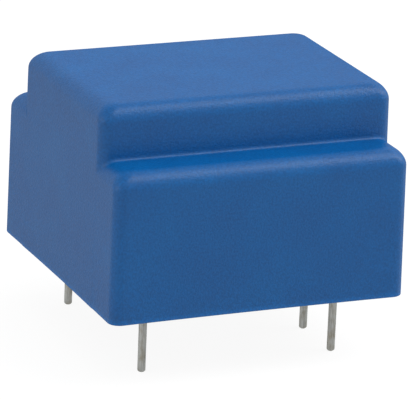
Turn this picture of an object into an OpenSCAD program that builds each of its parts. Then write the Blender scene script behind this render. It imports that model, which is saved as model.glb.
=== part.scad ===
// Potted transformer for a printed circuit board.
// Millimetres. The origin is the centre of the seating plane, where the case's open rim meets the board.
// +Z points up out of the board, and +X from the primary pins to the secondary pins.

/* [Case] */
// Length of the case at its rim, along X
case_length = 22.9; // [22.8:0.1:23.4]
// Width of the case at its rim, along Y
case_width = 22.6; // [22.55:0.05:23.4]
// Height of the case above the board
case_height = 15.1; // [14.85:0.05:15.8]
// Height of the two ledges above the board
ledge_height = 11.1; // [11:0.1:11.2]
// How far each ledge sets the raised middle back from the side of the case
ledge_depth = 3.3; // [3:0.1:3.4]
// Thickness of the case's walls and roof
wall = 1.0; // [0.8:0.1:1]
// Mould draft of every wall, in degrees
draft = 0.6; // [0.5:0.05:0.8]
// Radius of the edges round the top face and along the ledges
edge_r = 1.25; // [1.15:0.05:1.4]
// Radius of the upright edges, in plan
corner_r = 0.9; // [0.7:0.1:1.2]
// How far the walls along X have sunk inward at the middle of the rim
sink = 0.15; // [0:0.05:0.3]

/* [Pins] */
// Grid of the pins
pitch = 5; // [5, 5.08]
// Diameter of a pin
pin_d = 0.6; // [0.5:0.1:0.7]
// Length of a pin below the rim
pin_length = 5.1; // [3.5:0.1:6]
// How far the resin stays back from the rim
resin_recess = 0.35; // [0.25:0.05:0.5]

/* [Core] */
// Side of the square that the two E stacks make together
core_size = 20; // [19.8:0.1:20]
// Width of the centre leg
centre_leg = 5.2; // [5:0.1:5.4]
// Width of an outer leg and of the yoke
outer_leg = 3.2; // [3:0.1:3.2]
// Thickness of one lamination with its varnish
lamination = 0.5; // [0.5]
// Number of laminations in a stack
laminations = 12; // [11, 12]

/* [Coil] */
// Thickness of the bobbin's tube and flanges
bobbin_wall = 0.7; // [0.6:0.05:0.75]
// Depth of the copper wound on the tube
copper_build = 2.1; // [1.8:0.1:2.2]
// Thickness of the tape round each winding
tape = 0.1; // [0.05, 0.1]
// Diameter of the lead-out wires
lead_d = 0.2; // [0.15:0.05:0.25]

/* [Hidden] */
$fn = 48;
eps = 0.01;

// Case
slope = tan(draft);
inner_r = 0.15;
inner_corner_r = 0.3;
corner_fall = 0.4;
raised_width = case_width - 2 * ledge_depth;
sink_height = 8;
sink_steps = 6;

// Core: it hangs under the ledges' roof, where it lies when the case is filled upside down.
stack = lamination * laminations;
core_top = ledge_height - wall;
core_mid = core_top - stack / 2;
core_bottom = core_top - stack;
core_half = core_size / 2;
window = core_half - outer_leg;
varnish = 0.03;

// Bobbin: a tube round the centre leg, three flanges, and a rail for the pins under each yoke
leg_play = 0.05;
bore_y = centre_leg / 2 + leg_play;
bore_z = stack / 2 + leg_play;
tube_y = bore_y + bobbin_wall;
tube_z = bore_z + bobbin_wall;
tube_r = 0.3;
flange_x = window - 0.05;
flange_y = window - 0.1;
flange_z = min(core_mid - 0.8, case_height - wall - core_mid - 0.3);
flange_r = 0.8;
rail_bottom = 1.8;
rail_in = flange_x - bobbin_wall;
rail_overhang = 1.2;
rail_gap = 1.2;

// Winding chambers, between the middle flange and the end flanges
chamber_in = bobbin_wall / 2 + 0.05;
chamber_out = rail_in - 0.05;
taped_z = tube_z + copper_build + tape;

// Pins: the shank above the resin is coined square, so the wire wrapped on it bites on the corners.
row_x = 1.5 * pitch;
shank = 0.8 * pin_d;
shank_top = core_bottom - 0.4;
tip_chamfer = 0.2 * pin_d;
meniscus = 0.08;
joint_r = pin_d;
joint_bottom = 0.7;

// Leads: they leave under the coil, pass the end flange in a slot, and end in the joint on their pin.
lead_z = core_mid - taped_z - lead_d / 2;
lead_start = chamber_out - 0.8;
slot_w = 3 * lead_d;

// Each pin: its number, its row (-1 left, 1 right), its place along the row in pitches,
// and the place where its lead leaves the coil, in pitches
PINS = [
    [1, -1, -1.5, -0.6],
    [4, -1, 1.5, 0.6],
    [5, 1, 1.5, 0.6],
    [6, 1, 0.5, 0.3],
    [7, 1, -0.5, -0.3],
    [8, 1, -1.5, -0.6],
];

// One rounded corner of a plan outline, quadrant c of 0 to 3, anticlockwise in n steps.
function corner(hx, hy, r, c, n) = [
    for (i = [0:n])
        let (a = 90 * (c + i / n))
        [
            (c == 0 || c == 3 ? 1 : -1) * (hx - r) + r * cos(a),
            (c < 2 ? 1 : -1) * (hy - r) + r * sin(a),
        ]
];

// Points between the ends of a straight side, m spaces apart.
function between(p, q, m) = [for (i = [1:1:m - 1]) p + (q - p) * i / m];

// A rounded rectangle in plan, with n steps to a corner and m to a side. Its sides sink inward at mid length:
// by bow along X, and by half of it along Y.
function outline(hx, hy, r, bow, n, m) = [
    for (c = [0:3])
        let (arc = corner(hx, hy, r, c, n), next = corner(hx, hy, r, (c + 1) % 4, n))
        for (p = concat(arc, between(arc[n], next[0], m)))
            [
                p.x * (1 - bow / 2 / hx * (1 - pow(p.y / hy, 2))),
                p.y * (1 - bow / hy * (1 - pow(p.x / hx, 2))),
            ]
];

// Heights and insets of a block's sections: straight up, then a quarter round over the top edge in n steps.
function sections(z0, z1, r, bow, n) = concat(
    bow > 0 ? [[z0, 0], [sink_height, 0]] : [[z0, 0]],
    [
        for (i = [0:n])
            let (a = 90 * i / n)
            [z1 - r + r * sin(a), r * (1 - cos(a))]
    ]
);

// A moulded block lofted through its sections. Its half sizes hold at z = 0, and its walls lean inward.
// The upright edges have the radius corner in plan, which falls a little as the top edge turns inward.
module moulded_block(hx, hy, z0, z1, r, corner, bow, n) {
    levels = sections(z0, z1, r, bow, n);
    last = len(levels) - 1;
    side_steps = bow > 0 ? sink_steps : 1;
    walls = [
        for (s = levels)
            let (inset = s[0] * slope + s[1], sunk = bow * max(1 - s[0] / sink_height, 0))
            for (p = outline(hx - inset, hy - inset, corner - corner_fall * s[1], sunk, n, side_steps))
                [p.x, p.y, s[0]]
    ];
    foot = len(walls);
    k = foot / len(levels);
    polyhedron(
        points = concat(walls, [[0, 0, z0], [0, 0, z1]]),
        faces = [
            for (i = [0:k - 1])
                let (j = (i + 1) % k)
                each concat(
                    [[foot, i, j], [foot + 1, last * k + j, last * k + i]],
                    [
                        for (s = [0:last - 1])
                            each [
                                [s * k + i, s * k + i + k, s * k + j + k],
                                [s * k + i, s * k + j + k, s * k + j],
                            ]
                    ]
                )
        ]
    );
}

// The case's form, set inward by t on every side: the low block, and the raised block along its middle.
module stepped_form(t, z0, r, corner, bow, n) {
    hx = case_length / 2 - t;
    moulded_block(hx, case_width / 2 - t, z0, ledge_height - t, r, corner, bow, n);
    moulded_block(hx, raised_width / 2 - t, ledge_height - 2 * edge_r, case_height - t, r, corner, 0, n);
}

module cavity(z0) {
    stepped_form(wall, z0, inner_r, inner_corner_r, 0, 4);
}

module case() {
    color("#2f6397")
        difference() {
            stepped_form(0, 0, edge_r, corner_r, sink, 8);
            cavity(-eps);
        }
}

// The resin fills what the assembly leaves of the case, and creeps a little down each pin.
module potting_resin() {
    color("#23282f")
        difference() {
            union() {
                cavity(resin_recess);
                for (p = PINS)
                    at_pin(p, resin_recess - meniscus)
                        cylinder(h = 2 * meniscus, r1 = pin_d / 2 + 0.05, r2 = pin_d / 2 + 0.5);
            }
            bobbin();
            solder_joints();
            for (x_side = [-1, 1]) {
                core_form(x_side);
                wound_ring(x_side, 0, copper_build + tape);
            }
            for (p = PINS) {
                pin(p);
                lead(p);
            }
        }
}

// The plan of one E of the core, with its yoke on the side x_side. The legs of both meet at x = 0.
module e_outline(x_side) {
    rotate(x_side > 0 ? 0 : 180)
        difference() {
            translate([0, -core_half])
                square([core_half, core_size]);
            for (y = [centre_leg / 2, -window])
                translate([-eps, y])
                    square([window + eps, window - centre_leg / 2]);
        }
}

module core_form(x_side) {
    translate([0, 0, core_bottom])
        linear_extrude(stack)
            e_outline(x_side);
}

// Punched laminations, a film of varnish apart.
module core_stack(x_side) {
    color("#7d7f80")
        for (i = [0:laminations - 1])
            translate([0, 0, core_top - (i + 1) * lamination])
                linear_extrude(lamination - (i == 0 ? 0 : varnish))
                    e_outline(x_side);
}

module rounded_plate(y, z, r) {
    square([2 * y, 2 * (z - r)], center = true);
    square([2 * (y - r), 2 * z], center = true);
    for (i = [-1, 1], j = [-1, 1])
        translate([i * (y - r), j * (z - r)])
            circle(r);
}

// A rounded plate of half sizes y and z round the coil's axis, standing from x to x + t.
module across(x, t, y, z, r) {
    translate([x, 0, core_mid])
        rotate([90, 0, 90])
            linear_extrude(t)
                rounded_plate(y, z, r);
}

// What a chamber holds between two depths above the tube.
module wound_ring(x_side, from, to) {
    length = chamber_out - chamber_in;
    x = x_side > 0 ? chamber_in : -chamber_out;
    difference() {
        across(x, length, tube_y + to, tube_z + to, tube_r + to);
        across(x - eps, length + 2 * eps, tube_y + from, tube_z + from, tube_r + from);
    }
}

module winding(x_side, from, to) {
    color("#b0703f")
        wound_ring(x_side, from, to);
}

module winding_tape(x_side) {
    color("#d8bf5a")
        wound_ring(x_side, copper_build, copper_build + tape);
}

// A rail holds the pins of its row, with a gap between one place and the next.
module pin_rail(x_side) {
    width = 3 * pitch + 2 * rail_overhang;
    depth = row_x + rail_overhang - rail_in;
    rotate(x_side > 0 ? 0 : 180)
        difference() {
            translate([rail_in, -width / 2, rail_bottom])
                cube([depth, width, core_bottom - rail_bottom]);
            for (i = [-1:1])
                translate([flange_x, i * pitch - rail_gap / 2, rail_bottom - eps])
                    cube([depth, rail_gap, rail_gap]);
        }
}

module bobbin() {
    color("#2c2e30")
        difference() {
            union() {
                across(-flange_x, 2 * flange_x, tube_y, tube_z, tube_r);
                for (x = [-flange_x, -bobbin_wall / 2, rail_in])
                    across(x, bobbin_wall, flange_y, flange_z, flange_r);
                for (x_side = [-1, 1])
                    pin_rail(x_side);
            }
            translate([-flange_x - eps, -bore_y, core_mid - bore_z])
                cube([2 * (flange_x + eps), 2 * bore_y, 2 * bore_z]);
            for (p = PINS) {
                pin(p);
                along_lead(p, 0)
                    translate([0, -slot_w / 2, 0])
                        cube([norm(lead_run(p)), slot_w, lead_z + lead_d]);
            }
        }
}

module at_pin(p, z) {
    translate([p[1] * row_x, p[2] * pitch, z])
        children();
}

module pin(p) {
    profile = [
        [0, -pin_length],
        [pin_d / 2 - tip_chamfer, -pin_length],
        [pin_d / 2, tip_chamfer - pin_length],
        [pin_d / 2, resin_recess],
        [0, resin_recess],
    ];
    color("#9a9c98")
        at_pin(p, 0) {
            rotate_extrude()
                polygon(profile);
            translate([-shank / 2, -shank / 2, resin_recess - eps])
                cube([shank, shank, shank_top - resin_recess + eps]);
        }
}

// Places its children at the start of a pin's lead, at height z, with X along the lead.
module along_lead(p, z) {
    start = [p[1] * lead_start, p[3] * pitch];
    run = lead_run(p);
    translate([start.x, start.y, z])
        rotate(atan2(run.y, run.x))
            children();
}

function lead_run(p) = [p[1] * (row_x - lead_start), (p[2] - p[3]) * pitch];

module lead(p) {
    color("#b0703f")
        along_lead(p, lead_z)
            rotate([0, 90, 0])
                cylinder(h = norm(lead_run(p)) - 0.7 * joint_r, d = lead_d);
}

// Solder round the end of a lead and the shank of its pin, up to the rail.
module solder_joints() {
    color("#b9bab6")
        for (p = PINS)
            difference() {
                at_pin(p, joint_bottom) {
                    h = (rail_bottom - joint_bottom) / 2;
                    cylinder(h = h, r1 = 0.7 * joint_r, r2 = joint_r);
                    translate([0, 0, h])
                        cylinder(h = h, r1 = joint_r, r2 = 0.8 * joint_r);
                }
                pin(p);
                lead(p);
            }
}

case();
potting_resin();
bobbin();
core_stack(-1);  // core_stack_left
core_stack(1);  // core_stack_right
winding(-1, 0, copper_build);  // primary_winding
winding(1, 0, copper_build / 2);  // inner_secondary_winding
winding(1, copper_build / 2, copper_build);  // outer_secondary_winding
winding_tape(-1);  // primary_tape
winding_tape(1);  // secondary_tape
solder_joints();
pin(PINS[0]);  // pin_1
pin(PINS[1]);  // pin_4
pin(PINS[2]);  // pin_5
pin(PINS[3]);  // pin_6
pin(PINS[4]);  // pin_7
pin(PINS[5]);  // pin_8
lead(PINS[0]);  // lead_1
lead(PINS[1]);  // lead_4
lead(PINS[2]);  // lead_5
lead(PINS[3]);  // lead_6
lead(PINS[4]);  // lead_7
lead(PINS[5]);  // lead_8
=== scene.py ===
"""Looks of the potted transformer, in metres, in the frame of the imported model."""

import math

import bpy
import numpy as np
from mathutils import Matrix, Vector, noise


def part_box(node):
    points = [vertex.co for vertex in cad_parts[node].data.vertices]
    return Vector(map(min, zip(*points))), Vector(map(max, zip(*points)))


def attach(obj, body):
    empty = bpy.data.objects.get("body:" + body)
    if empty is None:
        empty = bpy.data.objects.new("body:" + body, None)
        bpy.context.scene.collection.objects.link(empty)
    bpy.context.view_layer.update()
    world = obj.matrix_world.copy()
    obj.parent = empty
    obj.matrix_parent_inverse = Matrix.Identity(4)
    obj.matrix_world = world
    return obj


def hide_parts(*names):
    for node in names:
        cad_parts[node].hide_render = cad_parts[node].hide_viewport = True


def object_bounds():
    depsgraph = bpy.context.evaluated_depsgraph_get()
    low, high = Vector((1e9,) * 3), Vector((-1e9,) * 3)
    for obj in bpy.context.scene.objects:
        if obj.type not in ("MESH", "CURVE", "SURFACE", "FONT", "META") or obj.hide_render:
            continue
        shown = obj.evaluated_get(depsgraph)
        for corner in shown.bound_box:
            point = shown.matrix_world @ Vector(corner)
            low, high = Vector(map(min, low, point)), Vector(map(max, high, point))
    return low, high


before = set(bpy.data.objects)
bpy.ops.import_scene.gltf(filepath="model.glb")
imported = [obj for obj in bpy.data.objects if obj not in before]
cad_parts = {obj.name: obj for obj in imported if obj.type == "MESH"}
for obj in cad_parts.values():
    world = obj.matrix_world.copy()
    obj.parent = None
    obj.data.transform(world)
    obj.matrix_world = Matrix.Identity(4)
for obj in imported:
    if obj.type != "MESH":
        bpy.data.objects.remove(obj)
cad_low, cad_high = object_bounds()

MM = 0.001
BODY = "root"


# ---------------------------------------------------------------- sizes, read off the CAD nodes

DRAFT = math.tan(math.radians(0.6))  # lean of every moulded wall
SINK = 0.15 * MM  # how far the walls along X have sunk inward at the rim
SINK_HEIGHT = 8 * MM  # where the sinking ends
WALL = 1.0 * MM
EDGE_R = 1.25 * MM  # round over the top edges
CORNER_R = 0.9 * MM  # upright edges, in plan
CORNER_GROWTH = 0.6  # of the edge's radius, by which a corner's radius grows up to the top
CAVITY_EDGE_R = 0.15 * MM
CAVITY_CORNER_R = 0.3 * MM
CREASE_R = 0.14 * MM  # fillet where a ledge meets the raised block
CAVITY_CREASE_R = 0.02 * MM
RIM_R = 0.1 * MM  # outer edge of the rim
INNER_RIM_R = 0.08 * MM
PIN_R = 0.3 * MM
MENISCUS_END = 0.3 * MM  # the resin's creep down the pins ends below this height, its free surface lies above


def node_points(node):
    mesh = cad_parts[node].data
    flat = np.empty(len(mesh.vertices) * 3)
    mesh.vertices.foreach_get("co", flat)
    return flat.reshape(-1, 3)


case_points = node_points("case")
upright = np.abs(case_points) + DRAFT * case_points[:, 2:3]
CASE_TOP = case_points[:, 2].max()
HALF_LENGTH = upright[:, 0].max()
HALF_WIDTH = upright[:, 1].max()
LEDGE_Z = case_points[np.abs(case_points[:, 1]) > 0.85 * HALF_WIDTH][:, 2].max()
RAISED_HALF = upright[case_points[:, 2] > LEDGE_Z + 0.5 * MM][:, 1].max()
resin_heights = node_points("potting_resin")[:, 2]
RESIN_Z = resin_heights[resin_heights > MENISCUS_END].min()


# ---------------------------------------------------------------- materials


def new_material(name):
    material = bpy.data.materials.new(name)
    material.use_nodes = True
    tree = material.node_tree
    return material, tree, tree.nodes["Principled BSDF"]


def add(tree, kind, **values):
    """A new node, with its properties and unlinked inputs set by name."""
    node = tree.nodes.new(kind)
    for key, value in values.items():
        if hasattr(node, key):
            setattr(node, key, value)
        else:
            node.inputs[key.replace("_", " ")].default_value = value
    return node


def object_space(tree, stretch=(1, 1, 1)):
    """Object coordinates, which are metres in the row frame, stretched for a grain that runs along an axis."""
    coordinate = add(tree, "ShaderNodeTexCoord")
    mapping = add(tree, "ShaderNodeMapping", Scale=stretch)
    tree.links.new(coordinate.outputs["Object"], mapping.inputs["Vector"])
    return mapping.outputs["Vector"]


def noise_of(tree, space, size, detail=2.0, roughness=0.5):
    """A noise field whose features are about size metres across."""
    node = add(tree, "ShaderNodeTexNoise", Scale=1.0 / size, Detail=detail, Roughness=roughness)
    tree.links.new(space, node.inputs["Vector"])
    return node.outputs["Fac"]


def ramp(tree, factor, stops):
    """Colours at positions along a factor."""
    node = tree.nodes.new("ShaderNodeValToRGB")
    elements = node.color_ramp.elements
    while len(elements) < len(stops):
        elements.new(0.5)
    for element, (position, colour) in zip(elements, stops):
        element.position = position
        element.color = (*colour, 1.0)
    tree.links.new(factor, node.inputs["Fac"])
    return node.outputs["Color"]


def remap(tree, factor, low, high, from_low=0.3, from_high=0.7):
    """A factor's range, carried over to low and high. The default range is where a noise field mostly lies."""
    node = add(tree, "ShaderNodeMapRange", From_Min=from_low, From_Max=from_high, To_Min=low, To_Max=high)
    tree.links.new(factor, node.inputs["Value"])
    return node.outputs["Result"]


def blend_colour(tree, factor, a, b, mode="MIX"):
    node = tree.nodes.new("ShaderNodeMix")
    node.data_type = "RGBA"
    node.blend_type = mode
    for socket, value in (("Factor", factor), ("A", a), ("B", b)):
        target = [s for s in node.inputs if s.name == socket and s.enabled][0]
        if isinstance(value, bpy.types.NodeSocket):
            tree.links.new(value, target)
        else:
            target.default_value = value if socket == "Factor" else (*value, 1.0)
    return [s for s in node.outputs if s.enabled][0]


def arithmetic(tree, operation, a, b):
    node = tree.nodes.new("ShaderNodeMath")
    node.operation = operation
    for socket, value in zip(node.inputs, (a, b)):
        if isinstance(value, bpy.types.NodeSocket):
            tree.links.new(value, socket)
        else:
            socket.default_value = value
    return node.outputs["Value"]


def bump(tree, height, depth, normal=None):
    """A normal from a height field this deep in metres, on top of another normal."""
    node = add(tree, "ShaderNodeBump", Strength=1.0, Distance=depth)
    tree.links.new(height, node.inputs["Height"])
    if normal is not None:
        tree.links.new(normal, node.inputs["Normal"])
    return node.outputs["Normal"]


def case_plastic():
    """Blue moulded plastic: a fine spark-eroded grain, a drawn look down the walls, and colour painted paler along
    the rim for the light the floor bounces onto it.
    """
    material, tree, shader = new_material("case_plastic")
    space = object_space(tree)
    broad = noise_of(tree, space, 3.2 * MM, 3.0)
    speckle = noise_of(tree, space, 0.16 * MM, 2.0)
    blues = [(0.3, (0.0022, 0.096, 0.318)), (0.52, (0.0012, 0.103, 0.338)), (0.72, (0.0012, 0.11, 0.352))]
    blue = ramp(tree, broad, blues)
    grey = ramp(tree, speckle, [(0.35, (0.84, 0.84, 0.84)), (0.65, (1.1, 1.1, 1.1))])
    colour = blend_colour(tree, 1.0, blue, grey, "MULTIPLY")
    height = tree.nodes.new("ShaderNodeSeparateXYZ")
    tree.links.new(space, height.inputs["Vector"])
    # Painted light: the colour turns paler toward the rim, standing in for the light the white floor bounces onto the
    # lowest edge.
    painted_floor_light = remap(tree, height.outputs["Z"], 1.35, 1.0, 0.1 * MM, 0.45 * MM)
    colour = blend_colour(tree, 1.0, colour, painted_floor_light, "MULTIPLY")
    tree.links.new(colour, shader.inputs["Base Color"])
    tree.links.new(remap(tree, broad, 0.36, 0.42), shader.inputs["Roughness"])
    drawn = noise_of(tree, object_space(tree, (1, 1, 0.06)), 0.5 * MM, 2.0)
    normal = bump(tree, drawn, 0.004 * MM)
    normal = bump(tree, noise_of(tree, space, 0.13 * MM, 2.0, 0.6), 0.032 * MM, normal=normal)
    tree.links.new(normal, shader.inputs["Normal"])
    tree.links.new(normal, shader.inputs["Coat Normal"])
    # The sheen is in the coat alone, where it can fade as the surface turns away.
    shader.inputs["Specular IOR Level"].default_value = 0
    shader.inputs["Coat Roughness"].default_value = 0.34
    turned = tree.nodes.new("ShaderNodeLayerWeight")
    sheen = remap(tree, turned.outputs["Facing"], 0.68, 0.15, 0.5, 0.92)
    tree.links.new(sheen, shader.inputs["Coat Weight"])
    return material


def dull_tin():
    """Drawn and tinned wire, gone dull: lengthwise marks, brown patches and pits."""
    material, tree, shader = new_material("dull_tin")
    space = object_space(tree)
    streaks = noise_of(tree, object_space(tree, (1, 1, 0.05)), 0.06 * MM, 2.0)
    patches = noise_of(tree, object_space(tree, (1, 1, 0.5)), 0.35 * MM, 3.0)
    base = ramp(tree, streaks, [(0.3, (0.24, 0.245, 0.235)), (0.7, (0.40, 0.405, 0.385))])
    stain = ramp(tree, patches, [(0.45, (1, 1, 1)), (0.75, (0.8, 0.74, 0.64))])
    tree.links.new(blend_colour(tree, 1.0, base, stain, "MULTIPLY"), shader.inputs["Base Color"])
    shader.inputs["Metallic"].default_value = 1.0
    tree.links.new(remap(tree, patches, 0.42, 0.62), shader.inputs["Roughness"])
    normal = bump(tree, streaks, 0.006 * MM)
    normal = bump(tree, noise_of(tree, space, 0.08 * MM, 3.0), 0.006 * MM, normal=normal)
    tree.links.new(normal, shader.inputs["Normal"])
    return material


def cast_resin():
    """Dark potting resin: smooth, with a faint flow and a little dust."""
    material, tree, shader = new_material("cast_resin")
    space = object_space(tree)
    flow = noise_of(tree, space, 2.4 * MM, 3.0)
    dust = noise_of(tree, space, 0.09 * MM, 2.0)
    base = ramp(tree, flow, [(0.3, (0.012, 0.015, 0.019)), (0.7, (0.021, 0.025, 0.031))])
    specks = ramp(tree, dust, [(0.68, (0, 0, 0)), (0.78, (0.05, 0.05, 0.05))])
    tree.links.new(blend_colour(tree, 1.0, base, specks, "ADD"), shader.inputs["Base Color"])
    tree.links.new(remap(tree, flow, 0.22, 0.36), shader.inputs["Roughness"])
    tree.links.new(bump(tree, flow, 0.03 * MM), shader.inputs["Normal"])
    return material


def bobbin_plastic():
    """Black glass-filled moulding."""
    material, tree, shader = new_material("bobbin_plastic")
    fibres = noise_of(tree, object_space(tree, (1, 0.25, 1)), 0.12 * MM, 3.0)
    base = ramp(tree, fibres, [(0.35, (0.018, 0.019, 0.02)), (0.7, (0.045, 0.047, 0.05))])
    tree.links.new(base, shader.inputs["Base Color"])
    tree.links.new(remap(tree, fibres, 0.4, 0.6), shader.inputs["Roughness"])
    tree.links.new(bump(tree, fibres, 0.006 * MM), shader.inputs["Normal"])
    return material


def core_steel():
    """Silicon steel sheet with a thin varnish, cold rolled along X."""
    material, tree, shader = new_material("core_steel")
    rolled = noise_of(tree, object_space(tree, (0.04, 1, 1)), 0.05 * MM, 2.0)
    tint = noise_of(tree, object_space(tree), 1.6 * MM, 2.0)
    base = ramp(tree, rolled, [(0.3, (0.17, 0.175, 0.18)), (0.7, (0.3, 0.31, 0.32))])
    varnish = ramp(tree, tint, [(0.4, (1, 1, 1)), (0.75, (0.78, 0.68, 0.5))])
    tree.links.new(blend_colour(tree, 1.0, base, varnish, "MULTIPLY"), shader.inputs["Base Color"])
    shader.inputs["Metallic"].default_value = 1.0
    tree.links.new(remap(tree, tint, 0.35, 0.5), shader.inputs["Roughness"])
    tree.links.new(bump(tree, rolled, 0.003 * MM), shader.inputs["Normal"])
    return material


def copper_wire(turn):
    """Enamelled copper, whose turns lie side by side along X at this pitch, with painted shade in the grooves between
    them.
    """
    material, tree, shader = new_material(f"copper_wire_{round(turn / MM * 100)}")
    space = object_space(tree)
    turns = add(tree, "ShaderNodeTexWave", wave_type="BANDS", bands_direction="X", Scale=math.pi / 10 / turn)
    tree.links.new(space, turns.inputs["Vector"])
    tint = noise_of(tree, space, 1.1 * MM, 2.0)
    base = ramp(tree, tint, [(0.3, (0.45, 0.15, 0.055)), (0.7, (0.6, 0.25, 0.1))])
    # Painted shade: the colour darkens in the grooves between the turns.
    painted_groove_shade = ramp(tree, turns.outputs["Fac"], [(0.0, (0.3, 0.3, 0.3)), (0.35, (1, 1, 1))])
    tree.links.new(blend_colour(tree, 1.0, base, painted_groove_shade, "MULTIPLY"), shader.inputs["Base Color"])
    shader.inputs["Metallic"].default_value = 1.0
    shader.inputs["Coat Weight"].default_value = 0.6
    tree.links.new(remap(tree, tint, 0.25, 0.38), shader.inputs["Roughness"])
    tree.links.new(bump(tree, turns.outputs["Fac"], turn / 2), shader.inputs["Normal"])
    return material


def film_tape():
    """Yellow polyester tape with the ridges of the turns below it."""
    material, tree, shader = new_material("film_tape")
    ridges = noise_of(tree, object_space(tree, (1, 0.05, 0.05)), 0.4 * MM, 2.0)
    base = ramp(tree, ridges, [(0.3, (0.62, 0.42, 0.06)), (0.7, (0.8, 0.6, 0.13))])
    tree.links.new(base, shader.inputs["Base Color"])
    tree.links.new(remap(tree, ridges, 0.18, 0.3), shader.inputs["Roughness"])
    tree.links.new(bump(tree, ridges, 0.02 * MM), shader.inputs["Normal"])
    return material


def bright_solder():
    """Solder that has flowed round the joint."""
    material, tree, shader = new_material("bright_solder")
    flow = noise_of(tree, object_space(tree), 0.3 * MM, 3.0)
    base = ramp(tree, flow, [(0.3, (0.42, 0.43, 0.42)), (0.7, (0.6, 0.61, 0.6))])
    tree.links.new(base, shader.inputs["Base Color"])
    shader.inputs["Metallic"].default_value = 1.0
    tree.links.new(remap(tree, flow, 0.22, 0.4), shader.inputs["Roughness"])
    tree.links.new(bump(tree, flow, 0.02 * MM), shader.inputs["Normal"])
    return material


# ---------------------------------------------------------------- mesh helpers


def make_piece(name, points, faces, material, replaced=()):
    """A smooth-shaded piece of the object, whose faces keep the order they are given in."""
    mesh = bpy.data.meshes.new(name)
    mesh.from_pydata([tuple(p) for p in points], [], [tuple(int(i) for i in f) for f in faces])
    mesh.validate()
    mesh.update()
    mesh.shade_smooth()
    mesh.materials.append(material)
    piece = bpy.data.objects.new(name, mesh)
    bpy.context.scene.collection.objects.link(piece)
    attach(piece, BODY)
    if replaced:
        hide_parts(*replaced)
    return piece


def steps(*stops):
    """Grid lines from stop to stop. Each stop after the first is (place, spacing on the way to it)."""
    lines = [stops[0]]
    for place, spacing in stops[1:]:
        count = max(1, round(abs(place - lines[-1]) / spacing))
        lines += list(np.linspace(lines[-1], place, count + 1)[1:])
    return np.array(lines)


def mirrored(half):
    """Lines for the whole width from those between 0 and the positive end."""
    return np.concatenate([-half[::-1], half[1:]])


# ---------------------------------------------------------------- case


def block_distance(p, half_x, half_y, top, edge_r, corner_r, sink):
    """Distance from p to a drafted block with rounded top edges and corners, negative inside, and its direction."""
    z = p[:, 2]
    hx, hy = half_x - DRAFT * z, half_y - DRAFT * z
    bow = sink * np.clip(1 - z / SINK_HEIGHT, 0, 1)
    across, along = np.clip(np.abs(p[:, 0]) / hx, 0, 1), np.clip(np.abs(p[:, 1]) / hy, 0, 1)
    x = np.abs(p[:, 0]) / (1 - bow / 2 / hx * (1 - along**2))
    y = np.abs(p[:, 1]) / (1 - bow / hy * (1 - across**2))
    turned = np.clip((z - top + edge_r) / edge_r, 0, 1)
    plan_r = corner_r + CORNER_GROWTH * edge_r * turned**2
    plan, (to_x, to_y) = rounded_corner(x - hx + plan_r, y - hy + plan_r, plan_r)
    distance, (to_side, to_top) = rounded_corner(plan + edge_r, z - top + edge_r, edge_r)
    sideways = np.sign(p[:, 0]) * to_x * to_side, np.sign(p[:, 1]) * to_y * to_side
    return distance, np.stack([*sideways, to_top], axis=1)


def rounded_corner(u, v, r):
    """Distance to the rounded corner of a quarter plane whose round is centred at 0, 0, and its direction."""
    over_u, over_v = np.maximum(u, 0), np.maximum(v, 0)
    beyond = np.hypot(over_u, over_v)
    outside = beyond > 0
    to_u = np.where(outside, over_u / np.where(outside, beyond, 1), u > v)
    to_v = np.where(outside, over_v / np.where(outside, beyond, 1), u <= v)
    return beyond + np.minimum(np.maximum(u, v), 0) - r, (to_u, to_v)


def stepped_distance(p, inset, edge_r, corner_r, sink, crease):
    """Distance to the case's form, set inward: two blocks, with a small fillet only where they meet at an angle."""
    low, low_way = block_distance(
        p, HALF_LENGTH - inset, HALF_WIDTH - inset, LEDGE_Z - inset, edge_r, corner_r, sink
    )
    raised, raised_way = block_distance(
        p, HALF_LENGTH - inset, RAISED_HALF - inset, CASE_TOP - inset, edge_r, corner_r, sink
    )
    angle = np.clip(1 - (low_way * raised_way).sum(axis=1), 0, 1)
    above = np.clip((p[:, 2] - LEDGE_Z + inset + edge_r) / edge_r, 0, 1)
    reach = 2 * crease
    overlap = np.maximum(reach - np.abs(low - raised), 0) / reach
    return np.minimum(low, raised) - above * angle * overlap**2 * reach / 4


def gradient(distance, p, h=0.004 * MM):
    """Unit directions in which distance grows fastest."""
    parts = []
    for axis in range(3):
        step = np.zeros(3)
        step[axis] = h
        parts.append((distance(p + step) - distance(p - step)) / (2 * h))
    g = np.stack(parts, axis=1)
    return g / np.maximum(np.linalg.norm(g, axis=1, keepdims=True), 1e-9)


def settle(p, distance, level_below, rounds=14):
    """Moves points onto the surface where distance is 0. Points that start below a level keep their height."""
    p = p.copy()
    level = p[:, 2] < level_below
    for _ in range(rounds):
        push = gradient(distance, p)
        push[level, 2] = 0
        p -= push * distance(p)[:, None]
    return p


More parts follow.
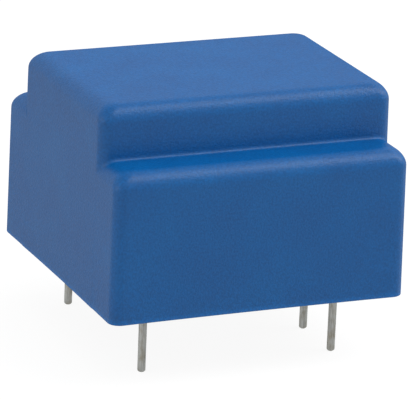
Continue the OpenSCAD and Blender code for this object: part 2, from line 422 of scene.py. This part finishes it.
def stepped_skin(xs, ys, zs, ledge_z, raised_half):
    """The open-bottomed outside of a T-shaped stack of cells: points, quads, and the loop of points at the bottom."""
    cx, cy, cz = ((a[1:] + a[:-1]) / 2 for a in (xs, ys, zs))
    solid = np.ones((len(cx), len(cy), len(cz)), bool)
    solid &= (cz[None, None, :] < ledge_z) | (np.abs(cy)[None, :, None] < raised_half)
    padded = np.pad(solid, 1)
    shape = (len(xs), len(ys), len(zs))
    quads = []
    for axis in range(3):
        u, v = [a for a in range(3) if a != axis]
        for side in (0, 1):
            if axis == 2 and side == 0:
                continue
            beyond = np.roll(padded, -1 if side else 1, axis)[1:-1, 1:-1, 1:-1]
            cells = np.argwhere(solid & ~beyond)
            corners = []
            for du, dv in ((0, 0), (1, 0), (1, 1), (0, 1)):
                corner = cells.copy()
                corner[:, axis] += side
                corner[:, u] += du
                corner[:, v] += dv
                corners.append(np.ravel_multi_index(corner.T, shape))
            outward = (axis != 1) == bool(side)
            quads.append(np.stack(corners if outward else corners[::-1], axis=1))
    quads = np.concatenate(quads)
    used, quads = np.unique(quads, return_inverse=True)
    i, j, k = np.unravel_index(used, shape)
    points = np.stack([xs[i], ys[j], zs[k]], axis=1)
    nx, ny = len(xs) - 1, len(ys) - 1
    walk = [(a, 0) for a in range(nx)] + [(nx, b) for b in range(ny)]
    walk += [(a, ny) for a in range(nx, 0, -1)] + [(0, b) for b in range(ny, 0, -1)]
    where = {(a, b): n for n, (a, b, c) in enumerate(zip(i, j, k)) if c == 0}
    return points, quads.reshape(-1, 4), np.array([where[w] for w in walk])


def relax(p, quads, fixed, distance, level_below, rounds=6):
    """Evens out the spacing of points along the surface."""
    edges = np.concatenate([quads[:, [a, (a + 1) % 4]] for a in range(4)])
    edges = np.unique(np.sort(edges, axis=1), axis=0)
    both = np.concatenate([edges, edges[:, ::-1]])
    count = np.bincount(both[:, 0], minlength=len(p))[:, None]
    for _ in range(rounds):
        total = np.stack([np.bincount(both[:, 0], p[both[:, 1], a], len(p)) for a in range(3)], axis=1)
        moved = p + 0.5 * (total / count - p)
        moved[fixed] = p[fixed]
        moved = settle(moved, distance, level_below, 3)
        moved[fixed] = p[fixed]
        p = moved
    return p


UPRIGHT_BELOW_LEDGE = 2.2 * MM  # from here down the walls have no rounding, so their points keep their height


def case_lines(inset, rim):
    """Grid lines of the case's form, set inward: close together round its edges and creases."""
    hx, hy, hr = HALF_LENGTH, HALF_WIDTH, RAISED_HALF
    fine, finer, coarse, band = 0.14 * MM, 0.08 * MM, 0.9 * MM, 2.0 * MM
    near, far = hr - 0.5 * MM, hr + 0.5 * MM
    xs = mirrored(steps(0.0, (hx - band, coarse), (hx, fine)))
    ys = mirrored(steps(0.0, (hr - band, coarse), (near, fine), (hr, finer), (far, finer), (hy, fine)))
    under, over = LEDGE_Z - 0.4 * MM, LEDGE_Z + 0.4 * MM
    zs = steps(
        RIM_R,
        (0.9 * MM, 0.25 * MM),
        (LEDGE_Z - band, coarse),
        (under, fine),
        (LEDGE_Z, finer),
        (over, finer),
        (CASE_TOP, fine),
    )
    xs = xs * (hx - inset) / hx
    ys = np.interp(ys, [-hy, -hr, hr, hy], [inset - hy, inset - hr, hr - inset, hy - inset])
    zs = np.interp(zs, [RIM_R, LEDGE_Z, CASE_TOP], [rim, LEDGE_Z - inset, CASE_TOP - inset])
    return xs, ys, zs


def case_surface(inset, rim, edge_r, corner_r, sink, crease):
    """The case's form, set inward and open below the height rim: points, quads, lowest loop and its way inward."""

    def distance(p):
        return stepped_distance(p, inset, edge_r, corner_r, sink, crease)

    xs, ys, zs = case_lines(inset, rim)
    points, quads, loop = stepped_skin(xs, ys, zs, LEDGE_Z - inset, RAISED_HALF - inset)
    level = LEDGE_Z - inset - UPRIGHT_BELOW_LEDGE
    points = settle(points, distance, level)
    fixed = points[:, 2] < level
    points = relax(points, quads, fixed, distance, level)
    inward = -gradient(distance, points[loop])
    inward[:, 2] = 0
    inward /= np.linalg.norm(inward, axis=1, keepdims=True)
    return points, quads, loop, inward


def rim_rings(points, loop, inward, r, sense):
    """Rings of points that turn from a wall's lowest loop to the flat of the rim, through a quarter circle."""
    rings = []
    count = 4
    for turn in range(1, count + 1):
        a = math.pi / 2 * turn / count
        ring = points[loop] + sense * inward * r * (1 - math.cos(a))
        ring[:, 2] = r * (1 - math.sin(a))
        rings.append(ring)
    return rings


def build_case(material):
    """The moulded shell: its outside, its cavity, and the rim between them."""
    outer, outer_quads, outer_loop, outer_in = case_surface(0, RIM_R, EDGE_R, CORNER_R, SINK, CREASE_R)
    inner, inner_quads, inner_loop, inner_in = case_surface(
        WALL, INNER_RIM_R, CAVITY_EDGE_R, CAVITY_CORNER_R, 0, CAVITY_CREASE_R
    )
    n = len(outer_loop)
    rings = rim_rings(outer, outer_loop, outer_in, RIM_R, 1)
    rings += rim_rings(inner, inner_loop, inner_in, INNER_RIM_R, -1)[::-1]
    points = np.concatenate([outer, *rings, inner])
    start = len(outer)
    inner_start = start + n * len(rings)
    loops = [outer_loop] + [np.arange(n) + start + n * i for i in range(len(rings))]
    loops.append(inner_loop + inner_start)
    faces = [outer_quads, inner_quads[:, ::-1] + inner_start]
    for upper, lower in zip(loops, loops[1:]):
        faces.append(np.stack([upper, lower, np.roll(lower, -1), np.roll(upper, -1)], axis=1))
    return make_piece("case_shell", points, np.concatenate(faces), material, ["case"])


# ---------------------------------------------------------------- pins


def build_pin(node, material):
    """A drawn wire with a cropped tip, round outside the resin and coined square inside it."""
    low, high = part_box(node)
    centre, r = (low + high) / 2, (high.x - low.x) / 2
    seed = Vector((centre.x, centre.y, 0)) / MM
    around = 40
    row_height = 0.14 * MM
    chamfer = 0.4 * r
    heights = [(low.z, r - chamfer), (low.z + 0.35 * chamfer, r - 0.5 * chamfer)]
    heights += [(low.z + 0.75 * chamfer, r - 0.13 * chamfer), (low.z + 1.25 * chamfer, r)]
    rows = round((RESIN_Z - low.z) / row_height)
    heights += [
        (low.z + 1.25 * chamfer + (RESIN_Z - low.z - 1.25 * chamfer) * (i + 1) / rows, r)
        for i in range(rows)
    ]
    half_shank = 0.8 * r
    # The cut of the tip slants by a different amount, and to a different side, on each pin.
    slant = 0.18 * noise.noise(seed * 0.37)
    turn = math.tau * noise.noise(seed * 0.71)
    points, faces = [], []
    for z, radius in heights:
        near_tip = max(0.0, 1 - (z - low.z) / (2 * chamfer))
        for i in range(around):
            a = math.tau * i / around
            side = Vector((math.cos(a), math.sin(a), 0))
            groove = noise.noise(Vector((side.x * 2.6, side.y * 2.6, z / MM * 0.35)) + seed)
            dent = noise.noise(Vector((side.x * 1.2, side.y * 1.2, z / MM * 1.7)) + seed * 1.3)
            depth = 0.006 * MM * (1 + groove) / 2 + 0.02 * MM * max(0.0, dent - 0.35)
            lift = near_tip * slant * radius * (1 + math.cos(a - turn))
            place = side * (radius - depth)
            points.append((centre.x + place.x, centre.y + place.y, z + abs(lift)))
    for z in (RESIN_Z + 0.02 * MM, high.z):
        for i in range(around):
            a = math.tau * i / around
            reach = half_shank / max(abs(math.cos(a)), abs(math.sin(a)))
            points.append((centre.x + reach * math.cos(a), centre.y + reach * math.sin(a), z))
    rings = len(heights) + 2
    for row in range(rings - 1):
        for i in range(around):
            j = (i + 1) % around
            faces.append((row * around + i, row * around + j, (row + 1) * around + j, (row + 1) * around + i))
    tip, top = len(points), len(points) + 1
    points.append((centre.x, centre.y, sum(p[2] for p in points[:around]) / around))
    points.append((centre.x, centre.y, high.z))
    last = (rings - 1) * around
    for i in range(around):
        j = (i + 1) % around
        faces.append((tip, j, i))
        faces.append((top, last + i, last + j))
    return make_piece(node + "_wire", points, faces, material, [node])


# ---------------------------------------------------------------- resin surface


PINHOLES = 9
PIN_NODES = [n for n in sorted(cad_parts) if n.startswith("pin_")]


def build_resin_skin(material):
    """The resin's free surface: it creeps up the walls and the pins, and has a few pinholes."""
    pins = [(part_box(n)[0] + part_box(n)[1]) / 2 for n in PIN_NODES]
    into_wall = 0.02 * MM
    hx = HALF_LENGTH - WALL - DRAFT * RESIN_Z + into_wall
    hy = HALF_WIDTH - WALL - DRAFT * RESIN_Z + into_wall
    fine, coarse, round_pin = 0.1 * MM, 0.5 * MM, 0.9 * MM
    row_x = max(p.x for p in pins)
    row_y = sorted({round(abs(p.y), 6) for p in pins})
    xs = mirrored(
        steps(0.0, (row_x - round_pin, coarse), (row_x + round_pin, fine), (hx - 1.0 * MM, coarse), (hx, fine))
    )
    ys = mirrored(
        steps(
            0.0,
            (row_y[0] - round_pin, coarse),
            (row_y[0] + round_pin, fine),
            (row_y[1] - round_pin, coarse),
            (row_y[1] + round_pin, fine),
            (hy - 1.0 * MM, coarse),
            (hy, fine),
        )
    )
    x, y = (a.ravel() for a in np.meshgrid(xs, ys, indexing="ij"))
    wall = np.minimum(hx - np.abs(x), hy - np.abs(y))
    z = RESIN_Z - 0.015 * MM - 0.16 * MM * np.exp(-wall / (0.32 * MM))
    for p in pins:
        away = np.maximum(np.hypot(x - p.x, y - p.y) - PIN_R, 0)
        z -= 0.14 * MM * np.exp(-away / (0.22 * MM))
    z += np.array([0.02 * MM * (noise.noise(Vector((a, b, 0)) / MM * 0.35) - 0.5) for a, b in zip(x, y)])
    rng = np.random.default_rng(7)
    for _ in range(PINHOLES):
        px, py = rng.uniform(-0.85, 0.85, 2) * (hx, hy)
        size = rng.uniform(0.12, 0.3) * MM
        z += 0.35 * size * np.exp(-(((x - px) ** 2 + (y - py) ** 2) / size**2))
    top = RESIN_Z + 0.12 * MM
    z = np.minimum(z, top - 0.02 * MM)
    nx, ny = len(xs), len(ys)
    points = list(np.stack([x, y, z], axis=1))
    index = np.arange(nx * ny).reshape(nx, ny)
    faces = [
        (index[i, j], index[i, j + 1], index[i + 1, j + 1], index[i + 1, j])
        for i in range(nx - 1)
        for j in range(ny - 1)
    ]
    loop = [*index[:-1, 0], *index[-1, :-1], *index[:0:-1, -1], *index[0, :0:-1]]
    first = len(points)
    points += [(points[i][0], points[i][1], top) for i in loop]
    n = len(loop)
    for i in range(n):
        j = (i + 1) % n
        faces.append((loop[i], loop[j], first + j, first + i))
    centre = len(points)
    points.append((0, 0, top))
    faces += [(first + i, first + (i + 1) % n, centre) for i in range(n)]
    return make_piece("resin_surface", points, faces, material)


# ---------------------------------------------------------------- building the object

tin = dull_tin()
resin = cast_resin()
build_case(case_plastic())
for name in PIN_NODES:
    build_pin(name, tin)
build_resin_skin(resin)

primary, secondary = copper_wire(0.1 * MM), copper_wire(0.2 * MM)
tape = film_tape()
steel = core_steel()
NODE_MATERIALS = {
    "potting_resin": resin,
    "bobbin": bobbin_plastic(),
    "core_stack_left": steel,
    "core_stack_right": steel,
    "primary_winding": primary,
    "inner_secondary_winding": secondary,
    "outer_secondary_winding": secondary,
    "primary_tape": tape,
    "secondary_tape": tape,
    "solder_joints": bright_solder(),
}
for name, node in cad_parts.items():
    material = NODE_MATERIALS.get(name, secondary if name.startswith("lead_") else None)
    if material:
        node.data.materials.clear()
        node.data.materials.append(material)


# ---------------------------------------------------------------- floor, light and camera

WHITE_SEEN = 1.0  # the background as the camera and gloss see it
CEILING_SEEN = 0.3  # the ceiling as gloss sees it
CEILING_FROM = (0.72, 0.95)  # upward part of a direction, from the walls to the ceiling
ROOM_LIGHT = (0.1, 1.05)  # what lights the object, from the horizon to straight above
FLOOR_BOUNCE = 0.55
FLOOR_GLOW = 0.92
FLOOR_HALF = 1.5
TARGET = (0, 0, 0.01)
# Name, place, size and power of each lamp
SOFTBOXES = [
    ("softbox_above", (0.148, -0.124, 0.348), (0.22, 0.22), 0.4),
    ("softbox_right", (0.351, -0.09, 0.27), (0.3, 0.3), 0.7),
    ("softbox_left", (-0.6, -0.06, 0.1), (0.5, 0.4), 0.9),
]


def seen_directly(tree):
    """1 for camera, glossy and transmission rays, which see the background as white, else 0."""
    path = tree.nodes.new("ShaderNodeLightPath")
    seen = arithmetic(tree, "MAXIMUM", path.outputs["Is Camera Ray"], path.outputs["Is Glossy Ray"])
    return arithmetic(tree, "MAXIMUM", seen, path.outputs["Is Transmission Ray"])


def mix_value(tree, factor, a, b):
    """A number between a and b."""
    node = tree.nodes.new("ShaderNodeMix")
    for socket, value in zip(node.inputs, (factor, None, a, b)):
        if isinstance(value, bpy.types.NodeSocket):
            tree.links.new(value, socket)
        elif value is not None:
            socket.default_value = value
    return node.outputs[0]


def build_floor():
    """A white paper floor that keeps the object's shadow, and bounces only a plain part of the light."""
    material = bpy.data.materials.new("studio_floor")
    material.use_nodes = True
    tree = material.node_tree
    tree.nodes.clear()
    paper = noise_of(tree, object_space(tree), 1.5 * MM, 2.0)
    plain = tree.nodes.new("ShaderNodeBsdfDiffuse")
    plain.inputs["Color"].default_value = (FLOOR_BOUNCE, FLOOR_BOUNCE, FLOOR_BOUNCE, 1)
    dim = tree.nodes.new("ShaderNodeBsdfDiffuse")
    shadow_grey = ramp(tree, paper, [(0.2, (0.118, 0.118, 0.118)), (0.8, (0.122, 0.122, 0.122))])
    tree.links.new(shadow_grey, dim.inputs["Color"])
    glow = tree.nodes.new("ShaderNodeEmission")
    glow.inputs["Color"].default_value = (1, 1, 1, 1)
    glow.inputs["Strength"].default_value = FLOOR_GLOW
    both = tree.nodes.new("ShaderNodeAddShader")
    tree.links.new(dim.outputs[0], both.inputs[0])
    tree.links.new(glow.outputs[0], both.inputs[1])
    mix = tree.nodes.new("ShaderNodeMixShader")
    tree.links.new(seen_directly(tree), mix.inputs["Fac"])
    tree.links.new(plain.outputs[0], mix.inputs[1])
    tree.links.new(both.outputs[0], mix.inputs[2])
    output = tree.nodes.new("ShaderNodeOutputMaterial")
    tree.links.new(mix.outputs[0], output.inputs["Surface"])
    mesh = bpy.data.meshes.new("floor")
    corners = [(x * FLOOR_HALF, y * FLOOR_HALF, cad_low.z) for x, y in ((-1, -1), (1, -1), (1, 1), (-1, 1))]
    mesh.from_pydata(corners, [], [(0, 1, 2, 3)])
    mesh.materials.append(material)
    floor = bpy.data.objects.new("floor", mesh)
    bpy.context.scene.collection.objects.link(floor)


def build_world():
    """White walls to the camera and to gloss, under a dimmer ceiling. The object itself gets a plain even light."""
    world = bpy.data.worlds.new("studio")
    world.use_nodes = True
    bpy.context.scene.world = world
    tree = world.node_tree
    background = tree.nodes["Background"]
    background.inputs["Color"].default_value = (1, 1, 1, 1)
    direction = add(tree, "ShaderNodeTexCoord")
    height = add(tree, "ShaderNodeSeparateXYZ")
    tree.links.new(direction.outputs["Generated"], height.inputs["Vector"])
    room_seen = remap(tree, height.outputs["Z"], WHITE_SEEN, CEILING_SEEN, *CEILING_FROM)
    room_light = remap(tree, height.outputs["Z"], *ROOM_LIGHT, 0.0, 1.0)
    path = tree.nodes.new("ShaderNodeLightPath")
    room = mix_value(tree, seen_directly(tree), room_light, room_seen)
    strength = mix_value(tree, path.outputs["Is Camera Ray"], room, WHITE_SEEN)
    tree.links.new(strength, background.inputs["Strength"])


def softbox(name, place, size, power):
    """A soft rectangular lamp turned to the object."""
    data = bpy.data.lights.new(name, "AREA")
    data.shape = "RECTANGLE"
    data.size, data.size_y = size
    data.energy = power
    lamp = bpy.data.objects.new(name, data)
    lamp.location = place
    lamp.rotation_euler = (Vector(TARGET) - Vector(place)).to_track_quat("-Z", "Y").to_euler()
    bpy.context.scene.collection.objects.link(lamp)


def build_camera():
    """The photograph's view: from the left of the front, a little above, through a long lens."""
    azimuth, elevation, roll = (math.radians(a) for a in (23.357, 18.035, 2.299))
    distance = 271.283 * MM
    aim = Vector((0.241, 0, 4.83)) * MM
    back = Vector(
        (-math.sin(azimuth) * math.cos(elevation), -math.cos(azimuth) * math.cos(elevation), math.sin(elevation))
    )
    side = (-back).cross(Vector((0, 0, 1))).normalized()
    up = side.cross(-back)
    turned_side = math.cos(roll) * side + math.sin(roll) * up
    turned_up = math.cos(roll) * up - math.sin(roll) * side
    data = bpy.data.cameras.new("camera")
    data.sensor_width = 36
    data.lens = 321.81
    data.clip_start, data.clip_end = 0.01, 10
    camera = bpy.data.objects.new("camera", data)
    rotation = Matrix((turned_side, turned_up, back)).transposed().to_4x4()
    camera.matrix_world = Matrix.Translation(aim + back * distance) @ rotation
    bpy.context.scene.collection.objects.link(camera)
    bpy.context.scene.camera = camera


build_floor()
build_world()
for lamp_values in SOFTBOXES:
    softbox(*lamp_values)
build_camera()
bpy.context.scene.view_settings.view_transform = "Standard"
